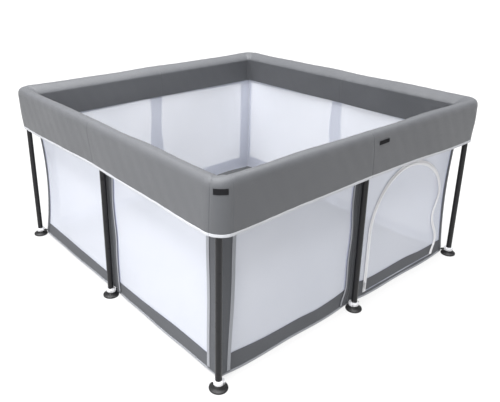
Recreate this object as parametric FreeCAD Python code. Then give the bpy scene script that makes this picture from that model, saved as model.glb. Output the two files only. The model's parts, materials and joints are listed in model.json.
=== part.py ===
"""Square folding playpen.

Eight tube posts stand in a ring. Between each pair of neighbours runs a top rail in two
halves, pivoted on the post hubs and on each other, so that every rail can drop at its
middle and draw the posts together. A fabric band covers the rails, mesh walls hang inside
the posts, and the floor is four panels that pleat upwards. One bay of the front wall has a
zipped door.

Units are millimetres. +Z is up, -Y is the front, and the origin is on the ground at the
middle of the pen.
"""
import FreeCAD, Part
import math
import os

from FreeCAD import Vector

# ---- posts ---------------------------------------------------------------------------
PITCH = 600.0             # from one post to the next
TUBE_R = 10.0             # posts and rails are the same tube
TUBE_WALL = 1.2

# ---- feet ----------------------------------------------------------------------------
CUP_R = 28.0
CUP_RIM = 5.0             # height of the cup's outer rim
CUP_TOP_R = 14.0
CUP_H = 18.0              # the tube stands on the cup at this height
CUP_SHOULDER = (18.0, 12.0)    # radius and height of the bend between its cone and its neck
CUP_RECESS_R = 20.0
CUP_RECESS_H = 4.0
PLUG_R = TUBE_R - TUBE_WALL
PLUG_H = 40.0             # how far the cup's plug reaches up into the tube
COLLAR_R = 15.5
COLLAR_H = 9.0
COLLAR_ROUND = 1.5

# ---- hubs and rails ------------------------------------------------------------------
RAIL_Z = 614.0            # height of the rails' centre line and of the hub pivots
HUB_PIVOT = 32.0          # from the post's axis to the rail's pivot
HUB_R = 16.0
HUB_BOTTOM = 585.0
HUB_TOP = 632.0
HUB_TOP_ROUND = 6.0
SOCKET_TOP = 620.0        # the tube ends here, inside the hub
EAR_R = 10.0
EAR_THICK = 5.0
TONGUE_THICK = 10.0
TONGUE_R = 9.5
SIDE_GAP = 0.3            # free space on each side of a tongue
HUB_PIN_R = 3.5
TUBE_START = 14.0         # from the hub pivot to the rail's tube

KNEE_RISE = 11.0          # the middle pivot is this far above the rail's centre line
KNEE_TUBE_END = 16.0      # from the middle pivot to the rail's tube
KNEE_EAR_R = 8.0
KNEE_EAR_THICK = 4.0
KNEE_TONGUE_THICK = 8.0
KNEE_TONGUE_R = 7.5
KNEE_PIN_R = 3.0
KNEE_CHEEK_HALF = 9.0     # half height of the fitting where it meets the tube
PIN_HEAD = 1.8            # thickness of a rivet's head
PIN_HEAD_EXTRA = 2.2      # how much wider than its shank the head is, in radius
RUNNING_GAP = 0.05        # between a pin and the bore that turns on it
OPEN_GAP = 0.3            # the same at the one knee that no joint holds
END_PLATE = 2.0           # closes each end of a rail's tube

# ---- band over the rails ---------------------------------------------------------------
BAND_HALF = 632.0         # from the pen's middle to the band's outer face
BAND_INNER_HALF = 565.0
BAND_CORNER_R = 55.0
BAND_INNER_CORNER_R = 12.0
BAND_BOTTOM = 485.0
BAND_TOP = 645.0
BAND_SKIN = 3.0
BAND_PAD = 8.0            # thickness over the rails
BAND_ROLL_R = 20.0        # rounding of the band's top edges
MITRE_GAP = 0.3           # between the bands of two sides

# ---- walls, door and floor -------------------------------------------------------------
WALL_MID = 576.0          # from the pen's middle to the middle of the mesh
WALL_THICK = 1.6
WALL_HALF = 574.0         # half the wall's length
WALL_BOTTOM = 14.0
WALL_TOP = 600.0

DOOR_MID = 290.0          # along the front wall, from its middle
DOOR_R = 210.0            # half width of the door and radius of its arch
DOOR_SPRING = 245.0       # height at which the arch begins
DOOR_SILL = 24.0
DOOR_GAP = 1.0            # between the wall's edge and the door
ZIP_TAPE = 8.0            # width of the zip's tape on each side
ZIP_TAPE_THICK = 1.0
SKIN_GAP = 0.3            # between pieces that lie on each other
SLIDER_SIZE = (8.4, 4.6, 13.0)
SLIDER_ROUND = 2.0
SLIDER_Z = 62.0           # slider's middle when the door is shut
BAIL_SIZE = (3.0, 3.4, 7.0)
BAIL_HOLE_R = 1.1
BAIL_HOLE_DROP = 2.0      # from the bail's top to the middle of its hole
PULL_SIZE = (6.0, 1.2, 24.0)
PULL_HOOK_R = 0.9
PULL_SLOT_WIDE = 3.6      # the slot straddles the bail
PULL_SLOT_DROP = 7.0      # how far it reaches below the pin

FLOOR_BOTTOM = 8.0
FLOOR_THICK = 3.0
FLOOR_HALF = 571.0
FLOOR_FOLD_GAP = 1.0      # between one floor panel and the next

LABEL_THICK = 0.6
CORNER_LABEL = (38.0, 17.0, 604.0)    # width, height and lowest edge
SIDE_LABEL = (50.0, 13.0, 600.0)
SIDE_LABEL_START = 6.0    # from the middle of the front to the label

POSTS = {
    "front_mid": (0, -1),
    "front_right": (1, -1),
    "right_mid": (1, 0),
    "back_right": (1, 1),
    "back_mid": (0, 1),
    "back_left": (-1, 1),
    "left_mid": (-1, 0),
    "front_left": (-1, -1),
}
BAYS = {
    "front_right": ("front_right", "front_mid"),
    "right_front": ("front_right", "right_mid"),
    "right_back": ("back_right", "right_mid"),
    "back_right": ("back_right", "back_mid"),
    "back_left": ("back_left", "back_mid"),
    "left_back": ("back_left", "left_mid"),
    "left_front": ("front_left", "left_mid"),
    "front_left": ("front_left", "front_mid"),
}
OPEN_BAY = "back_left"    # its middle pivot is the one that no joint holds
SIDES = {"front": 0, "right": 90, "back": 180, "left": 270}
X_AXIS = Vector(1, 0, 0)
Y_AXIS = Vector(0, 1, 0)
Z_AXIS = Vector(0, 0, 1)
OVERCUT = 5.0             # how far a cutting shape runs past what it cuts
TINY = 0.01               # slack when edges are picked by their place


# ---- small helpers -----------------------------------------------------------------------
def box(x, y, z):
    """A box from three (low, high) pairs."""
    return Part.makeBox(x[1] - x[0], y[1] - y[0], z[1] - z[0], Vector(x[0], y[0], z[0]))


def rod_y(x, z, radius, low, high):
    """A round bar along Y."""
    return Part.makeCylinder(radius, high - low, Vector(x, low, z), Y_AXIS)


def rod_x(y, z, radius, low, high):
    """A round bar along X."""
    return Part.makeCylinder(radius, high - low, Vector(low, y, z), X_AXIS)


def prism_y(points, low, high):
    """A plate with an outline in X and Z, between two values of Y."""
    corners = [Vector(x, low, z) for x, z in points]
    face = Part.Face(Part.makePolygon(corners + corners[:1]))
    return face.extrude(Vector(0, high - low, 0))


def turned(shape, degrees, move=Vector(0, 0, 0)):
    """The shape turned about the vertical axis, then moved."""
    out = shape.copy()
    out.rotate(Vector(0, 0, 0), Z_AXIS, degrees)
    out.translate(move)
    return out


def post_at(name):
    return Vector(POSTS[name][0] * PITCH, POSTS[name][1] * PITCH, 0)


def rivet(x, z, radius, half_width):
    """A rivet along Y: its shank fills the two ears, and its heads lie outside them."""
    head_r = radius + PIN_HEAD_EXTRA
    shank = rod_y(x, z, radius, -half_width, half_width)
    left = rod_y(x, z, head_r, -half_width - PIN_HEAD, -half_width)
    right = rod_y(x, z, head_r, half_width, half_width + PIN_HEAD)
    return shank.fuse([left, right]).removeSplitter()


# ---- posts ---------------------------------------------------------------------------------
def tube():
    length = SOCKET_TOP - CUP_H
    outer = Part.makeCylinder(TUBE_R, length, Vector(0, 0, CUP_H))
    inner = Part.makeCylinder(TUBE_R - TUBE_WALL, length, Vector(0, 0, CUP_H))
    return outer.cut(inner)


def foot():
    """The rubber cup with its plug, and the plastic collar round the tube's lower end."""
    profile = Part.makePolygon([
        Vector(0, 0, CUP_RECESS_H),
        Vector(CUP_RECESS_R, 0, 0),
        Vector(CUP_R, 0, 0),
        Vector(CUP_R, 0, CUP_RIM),
        Vector(CUP_SHOULDER[0], 0, CUP_SHOULDER[1]),
        Vector(CUP_TOP_R, 0, CUP_H),
        Vector(0, 0, CUP_H),
        Vector(0, 0, CUP_RECESS_H),
    ])
    cup = Part.Face(profile).revolve(Vector(0, 0, 0), Z_AXIS, 360)
    plug = Part.makeCylinder(PLUG_R, PLUG_H, Vector(0, 0, CUP_H))
    collar = Part.makeCylinder(COLLAR_R, COLLAR_H, Vector(0, 0, CUP_H))
    collar = collar.makeFillet(COLLAR_ROUND, [collar.Edges[0]])
    collar = collar.cut(Part.makeCylinder(TUBE_R, COLLAR_H, Vector(0, 0, CUP_H)))
    return Part.makeCompound([cup.fuse(plug).removeSplitter(), collar])


def ear_pair():
    """Two ears along +X that hold a rail's tongue between them."""
    inside = TONGUE_THICK / 2 + SIDE_GAP
    plates = []
    for low, high in ((inside, inside + EAR_THICK), (-inside - EAR_THICK, -inside)):
        arm = box((0, HUB_PIVOT), (low, high), (RAIL_Z - EAR_R, RAIL_Z + EAR_R))
        plates.append(arm.fuse(rod_y(HUB_PIVOT, RAIL_Z, EAR_R, low, high)))
    return plates


def hub(rail_angles):
    """The moulded top of a post, with a pair of ears and a rivet for each rail."""
    body = Part.makeCylinder(HUB_R, HUB_TOP - HUB_BOTTOM, Vector(0, 0, HUB_BOTTOM))
    top_edge = [e for e in body.Edges if abs(e.BoundBox.ZMin - HUB_TOP) < TINY]
    body = body.makeFillet(HUB_TOP_ROUND, top_edge)
    rivets = []
    for angle in rail_angles:
        body = body.fuse([turned(plate, angle) for plate in ear_pair()])
        half_width = TONGUE_THICK / 2 + SIDE_GAP + EAR_THICK
        pin = turned(rivet(HUB_PIVOT, RAIL_Z, HUB_PIN_R, half_width), angle)
        body = body.cut(pin)
        rivets.append(pin)
    socket = Part.makeCylinder(TUBE_R, SOCKET_TOP - HUB_BOTTOM, Vector(0, 0, HUB_BOTTOM))
    return Part.makeCompound([body.cut(socket).removeSplitter()] + rivets)


# ---- rails -----------------------------------------------------------------------------------
def knee_outline(tube_side, radius):
    """Outline of a middle fitting: from the tube's end at tube_side up to the pivot."""
    knee = PITCH / 2
    top = RAIL_Z + KNEE_RISE
    return [
        (tube_side, RAIL_Z - KNEE_CHEEK_HALF),
        (knee, top - radius),
        (knee, top + radius),
        (tube_side, RAIL_Z + KNEE_CHEEK_HALF),
    ]


def half_rail(with_fork, knee_gap):
    """Half a rail along +X, seen from its own post at the origin."""
    knee = PITCH / 2
    start = HUB_PIVOT + TUBE_START
    end = knee - KNEE_TUBE_END
    bar = rod_x(0, RAIL_Z, TUBE_R, start, end)
    bore = rod_x(0, RAIL_Z, TUBE_R - TUBE_WALL, start + END_PLATE, end - END_PLATE)
    half = TONGUE_THICK / 2
    tongue = box((HUB_PIVOT, start), (-half, half), (RAIL_Z - TONGUE_R, RAIL_Z + TONGUE_R))
    tongue = tongue.fuse(rod_y(HUB_PIVOT, RAIL_Z, TONGUE_R, -half, half))
    if with_fork:
        inside = KNEE_TONGUE_THICK / 2 + SIDE_GAP
        spans = ((inside, inside + KNEE_EAR_THICK), (-inside - KNEE_EAR_THICK, -inside))
        radius = KNEE_EAR_R
    else:
        spans = ((-KNEE_TONGUE_THICK / 2, KNEE_TONGUE_THICK / 2),)
        radius = KNEE_TONGUE_R
    fittings = []
    for low, high in spans:
        plate = prism_y(knee_outline(end, radius), low, high)
        fittings.append(plate.fuse(rod_y(knee, RAIL_Z + KNEE_RISE, radius, low, high)))
    rail = bar.fuse([tongue] + fittings).cut(bore)
    rail = rail.cut(rod_y(HUB_PIVOT, RAIL_Z, HUB_PIN_R + RUNNING_GAP, -half, half))
    if not with_fork:
        clear = KNEE_PIN_R + knee_gap
        rail = rail.cut(rod_y(knee, RAIL_Z + KNEE_RISE, clear, -half, half))
        return rail.removeSplitter()
    half_width = KNEE_TONGUE_THICK / 2 + SIDE_GAP + KNEE_EAR_THICK
    pin = rivet(knee, RAIL_Z + KNEE_RISE, KNEE_PIN_R, half_width)
    return Part.makeCompound([rail.cut(pin).removeSplitter(), pin])


def heading(start, end):
    """Direction from one post to another, in degrees about the vertical axis."""
    way = post_at(end) - post_at(start)
    return math.degrees(math.atan2(way.y, way.x))


# ---- band over the rails -----------------------------------------------------------------------
def rounded_square(half, radius, low, high):
    """A square post of the given half width with rounded upright edges."""
    block = box((-half, half), (-half, half), (low, high))
    upright = [e for e in block.Edges if e.BoundBox.ZLength > high - low - TINY]
    return block.makeFillet(radius, upright)


def rolled_ring(outer, outer_r, inner, inner_r, low, high, roll):
    """A square ring whose two top edges are rounded."""
    ring = rounded_square(outer, outer_r, low, high)
    ring = ring.cut(rounded_square(inner, inner_r, low, high))
    top_edges = [e for e in ring.Edges if e.BoundBox.ZMin > high - TINY]
    return ring.makeFillet(roll, top_edges)


def band_ring():
    """The whole band: an upside-down channel that hangs over the rails and the hubs."""
    skin_roll = BAND_ROLL_R - BAND_SKIN
    skin = rolled_ring(
        BAND_HALF, BAND_CORNER_R, BAND_INNER_HALF, BAND_INNER_CORNER_R,
        BAND_BOTTOM, BAND_TOP, BAND_ROLL_R,
    )
    hollow = rolled_ring(
        BAND_HALF - BAND_SKIN, BAND_CORNER_R - BAND_SKIN,
        BAND_INNER_HALF + BAND_SKIN, BAND_INNER_CORNER_R + BAND_SKIN,
        BAND_BOTTOM - OVERCUT, BAND_TOP - BAND_PAD, skin_roll,
    )
    return skin.cut(hollow)


def front_wedge():
    """The quarter of the plan that the front side takes, cut at the corners' mitres."""
    reach = BAND_HALF + OVERCUT
    low = BAND_BOTTOM - OVERCUT
    points = [
        Vector(0, -MITRE_GAP, low),
        Vector(-reach, -reach - MITRE_GAP, low),
        Vector(reach, -reach - MITRE_GAP, low),
    ]
    face = Part.Face(Part.makePolygon(points + points[:1]))
    return face.extrude(Vector(0, 0, BAND_TOP + OVERCUT - low))


# ---- walls and door ------------------------------------------------------------------------------
def arch(inset, low, high, sill):
    """A plate in the shape of the doorway, smaller all round by inset, between two Y values."""
    radius = DOOR_R - inset
    left = Vector(DOOR_MID - radius, low, sill)
    right = Vector(DOOR_MID + radius, low, sill)
    spring_left = Vector(DOOR_MID - radius, low, DOOR_SPRING)
    spring_right = Vector(DOOR_MID + radius, low, DOOR_SPRING)
    crown = Vector(DOOR_MID, low, DOOR_SPRING + radius)
    wire = Part.Wire([
        Part.makeLine(left, spring_left),
        Part.Arc(spring_left, crown, spring_right).toShape(),
        Part.makeLine(spring_right, right),
        Part.makeLine(right, left),
    ])
    return Part.Face(wire).extrude(Vector(0, high - low, 0))


def wall(with_doorway):
    """The mesh of the front side, from corner to corner."""
    faces = (-WALL_MID - WALL_THICK / 2, -WALL_MID + WALL_THICK / 2)
    sheet = box((-WALL_HALF, WALL_HALF), faces, (WALL_BOTTOM, WALL_TOP))
    if not with_doorway:
        return sheet
    return sheet.cut(arch(0, faces[0] - OVERCUT, faces[1] + OVERCUT, DOOR_SILL))


def door_flap():
    low = -WALL_MID - WALL_THICK / 2
    return arch(DOOR_GAP, low, low + WALL_THICK, DOOR_SILL + DOOR_GAP)


def zip_tape(outer_inset, inner_inset, sill):
    """An arch of tape that lies on the outer face of the wall or of the door."""
    high = -WALL_MID - WALL_THICK / 2 - SKIN_GAP
    low = high - ZIP_TAPE_THICK
    band = arch(outer_inset, low, high, sill)
    return band.cut(arch(inner_inset, low - OVERCUT, high + OVERCUT, sill - OVERCUT))


def tape_front():
    """The Y value of the zip tape's outer face."""
    return -WALL_MID - WALL_THICK / 2 - SKIN_GAP - ZIP_TAPE_THICK


def teeth_x():
    """The X value of the row of teeth on the door's left leg, on the wall's tape."""
    return DOOR_MID - DOOR_R - ZIP_TAPE / 2


def slider_front():
    return tape_front() - SKIN_GAP - SLIDER_SIZE[1]


def bail_place():
    """Y and Z of the hole in the slider's bail, on which the pull hangs."""
    return slider_front() - BAIL_SIZE[1] / 2, SLIDER_Z + BAIL_SIZE[2] / 2 - BAIL_HOLE_DROP


def zip_slider():
    """The slider's body with the bail that carries its pull."""
    x = teeth_x()
    half = SLIDER_SIZE[0] / 2
    back = slider_front() + SLIDER_SIZE[1]
    low = SLIDER_Z - SLIDER_SIZE[2] / 2
    body = box((x - half, x + half), (slider_front(), back), (low, low + SLIDER_SIZE[2]))
    upright = [e for e in body.Edges if e.BoundBox.YLength > SLIDER_SIZE[1] - TINY]
    body = body.makeFillet(SLIDER_ROUND, upright)
    bail_low = SLIDER_Z - BAIL_SIZE[2] / 2
    bail = box(
        (x - BAIL_SIZE[0] / 2, x + BAIL_SIZE[0] / 2),
        (slider_front() - BAIL_SIZE[1], slider_front()),
        (bail_low, bail_low + BAIL_SIZE[2]),
    )
    y, z = bail_place()
    hole = rod_x(y, z, BAIL_HOLE_R, x - BAIL_SIZE[0], x + BAIL_SIZE[0])
    return body.fuse(bail).cut(hole).removeSplitter()


def zip_pull():
    """The tab that hangs from the bail: a pin through the bail's hole and a slotted plate."""
    x = teeth_x()
    y, z = bail_place()
    half = PULL_SIZE[0] / 2
    pin = rod_x(y, z, PULL_HOOK_R, x - half, x + half)
    front = y - PULL_SIZE[1] / 2
    top = z + PULL_HOOK_R
    plate = box((x - half, x + half), (front, front + PULL_SIZE[1]), (top - PULL_SIZE[2], top))
    slot = box(
        (x - PULL_SLOT_WIDE / 2, x + PULL_SLOT_WIDE / 2),
        (front - OVERCUT, front + PULL_SIZE[1] + OVERCUT),
        (z - PULL_SLOT_DROP, top + OVERCUT),
    )
    return plate.cut(slot).fuse(pin).removeSplitter()


# ---- floor and labels ------------------------------------------------------------------------------
def floor_panel(number):
    """One of the four floor panels, numbered from the left."""
    width = 2 * FLOOR_HALF / 4
    low = -FLOOR_HALF + number * width + FLOOR_FOLD_GAP / 2
    high = low + width - FLOOR_FOLD_GAP
    return box((low, high), (-FLOOR_HALF, FLOOR_HALF), (FLOOR_BOTTOM, FLOOR_BOTTOM + FLOOR_THICK))


def corner_label():
    """A plain woven tab that wraps round the band's front left corner."""
    width, height, low = CORNER_LABEL
    inner = BAND_CORNER_R + SKIN_GAP
    half_angle = math.degrees(width / 2 / inner)
    centre = Vector(-BAND_HALF + BAND_CORNER_R, -BAND_HALF + BAND_CORNER_R, low)
    outer_sector = Part.makeCylinder(inner + LABEL_THICK, height, Vector(0, 0, 0), Z_AXIS, 2 * half_angle)
    inner_sector = Part.makeCylinder(inner, height, Vector(0, 0, 0), Z_AXIS, 2 * half_angle)
    return turned(outer_sector.cut(inner_sector), 225 - half_angle, centre)


def side_label():
    """A plain woven tab on the band's front face, beside the middle post."""
    width, height, low = SIDE_LABEL
    back = -BAND_HALF - SKIN_GAP
    start = SIDE_LABEL_START
    return box((start, start + width), (back - LABEL_THICK, back), (low, low + height))


# ---- the whole pen -----------------------------------------------------------------------------------
def build():
    """Every node's shape, by name."""
    shapes = {}
    for post in POSTS:
        angles = [heading(post, other) for pair in BAYS.values() if post in pair
                  for other in pair if other != post]
        place = post_at(post)
        shapes[f"{post}_post"] = turned(tube(), 0, place)
        shapes[f"{post}_foot"] = turned(foot(), 0, place)
        shapes[f"{post}_hub"] = turned(hub(angles), 0, place)
    for bay, (corner, mid) in BAYS.items():
        gap = OPEN_GAP if bay == OPEN_BAY else RUNNING_GAP
        fork = half_rail(True, gap)
        tongue = half_rail(False, gap)
        shapes[f"{bay}_rail_corner_half"] = turned(fork, heading(corner, mid), post_at(corner))
        shapes[f"{bay}_rail_mid_half"] = turned(tongue, heading(mid, corner), post_at(mid))
    front_band = band_ring().common(front_wedge())
    for side, angle in SIDES.items():
        shapes[f"{side}_band"] = turned(front_band, angle)
        shapes[f"{side}_wall"] = turned(wall(side == "front"), angle)
    names = ("left_outer", "left_inner", "right_inner", "right_outer")
    for number, name in enumerate(names):
        shapes[f"floor_panel_{name}"] = floor_panel(number)
    shapes["door_flap"] = door_flap()
    shapes["zip_tape_wall"] = zip_tape(-ZIP_TAPE, 0, DOOR_SILL)
    shapes["zip_tape_door"] = zip_tape(DOOR_GAP, ZIP_TAPE, DOOR_SILL + DOOR_GAP)
    shapes["zip_slider"] = zip_slider()
    shapes["zip_pull"] = zip_pull()
    shapes["corner_label"] = corner_label()
    shapes["side_label"] = side_label()
    return shapes


def main():
    os.makedirs("parts", exist_ok=True)
    for name, shape in build().items():
        shape.exportStep(f"parts/{name}.step")


main()
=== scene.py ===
"""Looks of the folding playpen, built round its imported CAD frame. Metres, +Z up, front at -Y."""
import json
import math

import bpy
import numpy as np
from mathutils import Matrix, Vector


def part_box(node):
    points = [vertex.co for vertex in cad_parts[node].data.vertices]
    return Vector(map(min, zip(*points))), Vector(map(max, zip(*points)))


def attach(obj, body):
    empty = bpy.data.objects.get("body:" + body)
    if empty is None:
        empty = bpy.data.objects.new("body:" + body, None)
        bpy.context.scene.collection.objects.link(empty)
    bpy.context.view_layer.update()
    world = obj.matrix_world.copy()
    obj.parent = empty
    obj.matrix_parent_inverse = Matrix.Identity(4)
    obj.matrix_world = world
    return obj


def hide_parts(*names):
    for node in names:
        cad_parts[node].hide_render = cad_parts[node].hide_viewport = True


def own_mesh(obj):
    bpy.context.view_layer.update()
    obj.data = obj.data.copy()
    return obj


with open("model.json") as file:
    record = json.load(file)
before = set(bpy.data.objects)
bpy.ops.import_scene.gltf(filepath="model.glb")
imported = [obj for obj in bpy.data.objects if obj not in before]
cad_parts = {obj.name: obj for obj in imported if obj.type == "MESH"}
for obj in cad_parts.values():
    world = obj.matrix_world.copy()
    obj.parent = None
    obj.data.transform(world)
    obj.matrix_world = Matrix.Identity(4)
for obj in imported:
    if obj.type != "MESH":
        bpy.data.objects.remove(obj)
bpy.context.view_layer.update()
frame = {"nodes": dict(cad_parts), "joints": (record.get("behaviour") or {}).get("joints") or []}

# ---- places read from the frame --------------------------------------------
SIDES = ("front", "right", "back", "left")              # anticlockwise from above
CORNERS = ("front_left", "front_right", "back_right", "back_left")    # where each side begins
JOINTS = {joint["name"]: joint for joint in frame["joints"]}
POST_LOW, POST_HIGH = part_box("front_right_post")
PITCH = (POST_LOW.x + POST_HIGH.x) / 2
BAND_LOW, BAND_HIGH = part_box("front_band")
WALL_LOW, WALL_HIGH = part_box("front_wall")
DOOR_LOW, DOOR_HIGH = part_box("door_flap")
FLOOR_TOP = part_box("floor_panel_left_outer")[1].z
PIVOT = Vector(JOINTS["fold"]["pos_m"])                 # first pivot, beside the front middle post
KNEE = Vector(JOINTS["front_right_knee"]["pos_m"])
FOLD = math.radians(JOINTS["fold"]["range_deg"][1])
HUB_TO_PIVOT = PIVOT.x
KNEE_X = KNEE.x
HALF_RAIL_FOLDED = (KNEE_X - HUB_TO_PIVOT) * math.cos(FOLD) + (KNEE.z - PIVOT.z) * math.sin(FOLD)
FOLDED_BAY = 2 * (HUB_TO_PIVOT + HALF_RAIL_FOLDED)      # between two posts when folded

# ---- the band --------------------------------------------------------------
BAND_OUT = -BAND_LOW.y - PITCH          # its outer face, outwards from the posts' line
BAND_IN = -0.035                        # its inner face
BAND_CLOTH = 0.003
BAND_BOTTOM = BAND_LOW.z
BAND_TAPER = 0.005                      # how far the lower edge hangs in from the face
ROLL_Z = PIVOT.z + 0.001                # height at which the rounded top begins
ROLL_HIGH = 0.0288
CREST = 0.012                           # where the top is highest
ROLL_OUT_POWER = 2.5                    # of the top's superellipse, outside the crest
ROLL_IN_POWER = 1.5                     # inside it, where the cloth slopes down
INNER_BOTTOM = BAND_BOTTOM + 0.028      # the inner cloth is shorter than the outer one
LOWER_BOW = 0.010                       # how far the outer lower edge rises in the middle of a side
OUTER_CORNER_R = 0.058
INNER_CORNER_R = 0.014
CORNER_STRAIGHT = 0.006                 # straight stretch at each end of a corner piece
TOP_SPLIT = 1.52                        # where the rails' sleeves meet the inner cloth
BINDING_HIGH = 0.010
BINDING_THICK = 0.005
SLEEVE_KEEP = 0.165                     # share of its height that a sleeve keeps when folded
SLEEVE_ANCHOR = 0.6205                  # height that it flattens towards
CAP_KEEP = 0.2                          # the same for the caps over the posts
SEAM_DEEP = 0.0011
SEAM_WIDE = 0.0018
MID_SEAM_LOW, MID_SEAM_HIGH = -0.008, -0.024           # the middle seam leans
CORNER_SEAM_LOW, CORNER_SEAM_HIGH = 0.213, 0.275       # on the corner's arc, 0 to 1
CORNER_SEAM_RIGHT = 0.923

# ---- walls, door and floor -------------------------------------------------
WALL_IN = PITCH + (WALL_LOW.y + WALL_HIGH.y) / 2        # from the posts' line to the mesh
WALL_PLANE = PITCH - WALL_IN
WALL_END = WALL_PLANE                   # the nets of two sides meet at the corner
STRIP_LIFT = 0.0016                     # how far the grey strips lie outside the mesh
CLOTH_THICK = 0.0007
WALL_TOP = WALL_HIGH.z - 0.005
PINCHES = (0.0090, 0.0090, 0.0090, 0.0155)             # how far each corner of the walls pulls in,
PINCH_LOW, PINCH_HIGH = 0.03, 0.52      # most of all midway between these heights
STRIP_HALF = 0.030                      # half the width of the middle posts' strips
CORNER_TRIM = 0.012                     # width of the light tape on the corner strips' edges
MID_TRIM = 0.007                        # and on the middle strips'
CORNER_STRIP = 0.052
EDGE_STRIP = 0.015                      # where the corner's grey cloth lies on the other wall
NARROW_ENDS = {("front", True), ("right", True), ("left", False)}
HEM_WIDE, HEM_THICK = 0.0080, 0.0034
TRIM_THICK = 0.0018
HEM_LIFT, CORNER_TRIM_LIFT, MID_TRIM_LIFT = 0.0012, 0.0042, 0.0056    # middles, out from the net
TAPE_LIFT, COIL_LIFT = 0.0034, 0.0046
WALL_KEEP = (FOLDED_BAY - WALL_IN) / WALL_PLANE
INNER_KEEP = (FOLDED_BAY + BAND_IN) / (PITCH + BAND_IN)
FLOOR_KEEP = FOLDED_BAY / PITCH * 0.66
FLOOR_CLOTH = 0.003
DOOR_MID = (DOOR_LOW.x + DOOR_HIGH.x) / 2
DOOR_R = (DOOR_HIGH.x - DOOR_LOW.x) / 2 + 0.001
DOOR_SILL = DOOR_LOW.z
DOOR_SPRING = DOOR_HIGH.z + 0.001 - DOOR_R             # where the arch begins
DOOR_GAP = 0.0015                       # between the door's cloth and its outline
TAPE_WIDE, TAPE_THICK = 0.008, 0.0016
TAPE_SIDE = 0.0045                      # from the door's outline to the middle of each tape
COIL_WIDE = 0.0018
TAB_THICK = 0.0009
CORNER_TAB = 0.038


# ---- meshes ----------------------------------------------------------------
def add_object(name, data):
    """A new object in the scene."""
    made = bpy.data.objects.new(name, data)
    bpy.context.scene.collection.objects.link(made)
    return made


def make_object(name, points, faces, material, normals=None):
    """A smooth-shaded object, with the given normal at each corner of each face."""
    mesh = bpy.data.meshes.new(name)
    mesh.from_pydata([tuple(p) for p in points], [], [tuple(int(i) for i in f) for f in faces])
    mesh.materials.append(material)
    mesh.polygons.foreach_set("use_smooth", [True] * len(mesh.polygons))
    if normals is not None:
        mesh.normals_split_custom_set([tuple(n) for n in normals])
    mesh.update()
    return add_object(name, mesh)


def unit(vectors):
    """The vectors with length 1. Those of slopes are as short as 1e-13 before."""
    lengths = np.linalg.norm(vectors, axis=-1, keepdims=True)
    return vectors / np.maximum(lengths, 1e-30)


def slopes(surface, u, v):
    """The surface's points and normals."""
    step = 1e-5
    along_u = surface(u + step, v) - surface(u - step, v)
    along_v = surface(u, v + step) - surface(u, v - step)
    return surface(u, v), unit(np.cross(along_u, along_v))


def cloth(name, surface, us, vs, thick, material, lining=None):
    """A closed sheet. surface(u, v) gives its outer face, and its inner face lies thick behind.
    With a thickness of 0 it is a single open layer.

    Its normals come from the surface itself, so that two sheets cut from one surface meet
    without a visible line.
    """
    u, v = np.meshgrid(np.asarray(us, float), np.asarray(vs, float), indexing="ij")
    outer, normal = slopes(surface, u, v)
    rows, columns = u.shape
    index = np.arange(rows * columns).reshape(rows, columns)
    a, b = index[:-1, :-1].ravel(), index[1:, :-1].ravel()
    c, d = index[1:, 1:].ravel(), index[:-1, 1:].ravel()
    front = np.stack([a, b, c, d], 1)
    flat = normal.reshape(-1, 3)
    if thick <= 0:
        return make_object(name, outer.reshape(-1, 3), front, material, flat[front.ravel()])
    count = rows * columns
    points = np.concatenate([outer.reshape(-1, 3), (outer - normal * thick).reshape(-1, 3)])
    back = front[:, ::-1]
    edge = np.concatenate([index[:-1, 0], index[-1, :-1], index[:0:-1, -1], index[0, :0:-1]])
    following = np.roll(edge, -1)
    rim = np.stack([following, edge, edge + count, following + count], 1)
    across = np.cross(points[rim[:, 2]] - points[rim[:, 0]], points[rim[:, 3]] - points[rim[:, 1]])
    normals = np.concatenate([
        flat[front.ravel()],
        -flat[back.ravel()],
        np.repeat(unit(across), 4, axis=0),
    ])
    faces = np.concatenate([front, back + count, rim])
    piece = make_object(name, points, faces, material, normals)
    if lining is not None:
        piece.data.materials.append(lining)
        which = [0] * len(front) + [1] * len(back) + [0] * len(rim)
        piece.data.polygons.foreach_set("material_index", which)
    return piece


def tube(name, surface, us, sides, material, ring=False):
    """A bar whose skin is surface(u, v), with v from 0 to 1 once round it."""
    u, v = np.meshgrid(np.asarray(us, float), np.arange(sides) / sides, indexing="ij")
    points, normal = slopes(surface, u, v)
    count = len(us)
    faces = []
    for i in range(count if ring else count - 1):
        j = (i + 1) % count
        for k in range(sides):
            m = (k + 1) % sides
            faces.append((i * sides + k, j * sides + k, j * sides + m, i * sides + m))
    normals = [normal.reshape(-1, 3)[index] for face in faces for index in face]
    if not ring:
        forward = unit(points[-1].mean(0) - points[-2].mean(0))
        backward = unit(points[0].mean(0) - points[1].mean(0))
        faces.append(tuple(range(sides)))
        faces.append(tuple((count - 1) * sides + k for k in range(sides))[::-1])
        normals += [backward] * sides + [forward] * sides
    return make_object(name, points.reshape(-1, 3), faces, material, normals)


def soft_box(v, wide, high, power=4.0):
    """Side and height of a rounded rectangle's outline at v, from 0 to 1 once round it."""
    angle = 2 * math.pi * (v + 1 / 32)
    c, s = np.cos(angle), np.sin(angle)
    side = wide / 2 * np.sign(c) * np.abs(c) ** (2 / power)
    height = high / 2 * np.sign(s) * np.abs(s) ** (2 / power)
    return side, height


def stack(x, y, z):
    """Points from their coordinates."""
    x, y, z = np.broadcast_arrays(x, y, z)
    return np.stack([x, y, z], -1)


def join(name, parts):
    """One object from several."""
    if len(parts) == 1:
        parts[0].name = name
        return parts[0]
    with bpy.context.temp_override(
        active_object=parts[0], selected_editable_objects=parts, selected_objects=parts
    ):
        bpy.ops.object.join()
    parts[0].name = name
    return parts[0]


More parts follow.
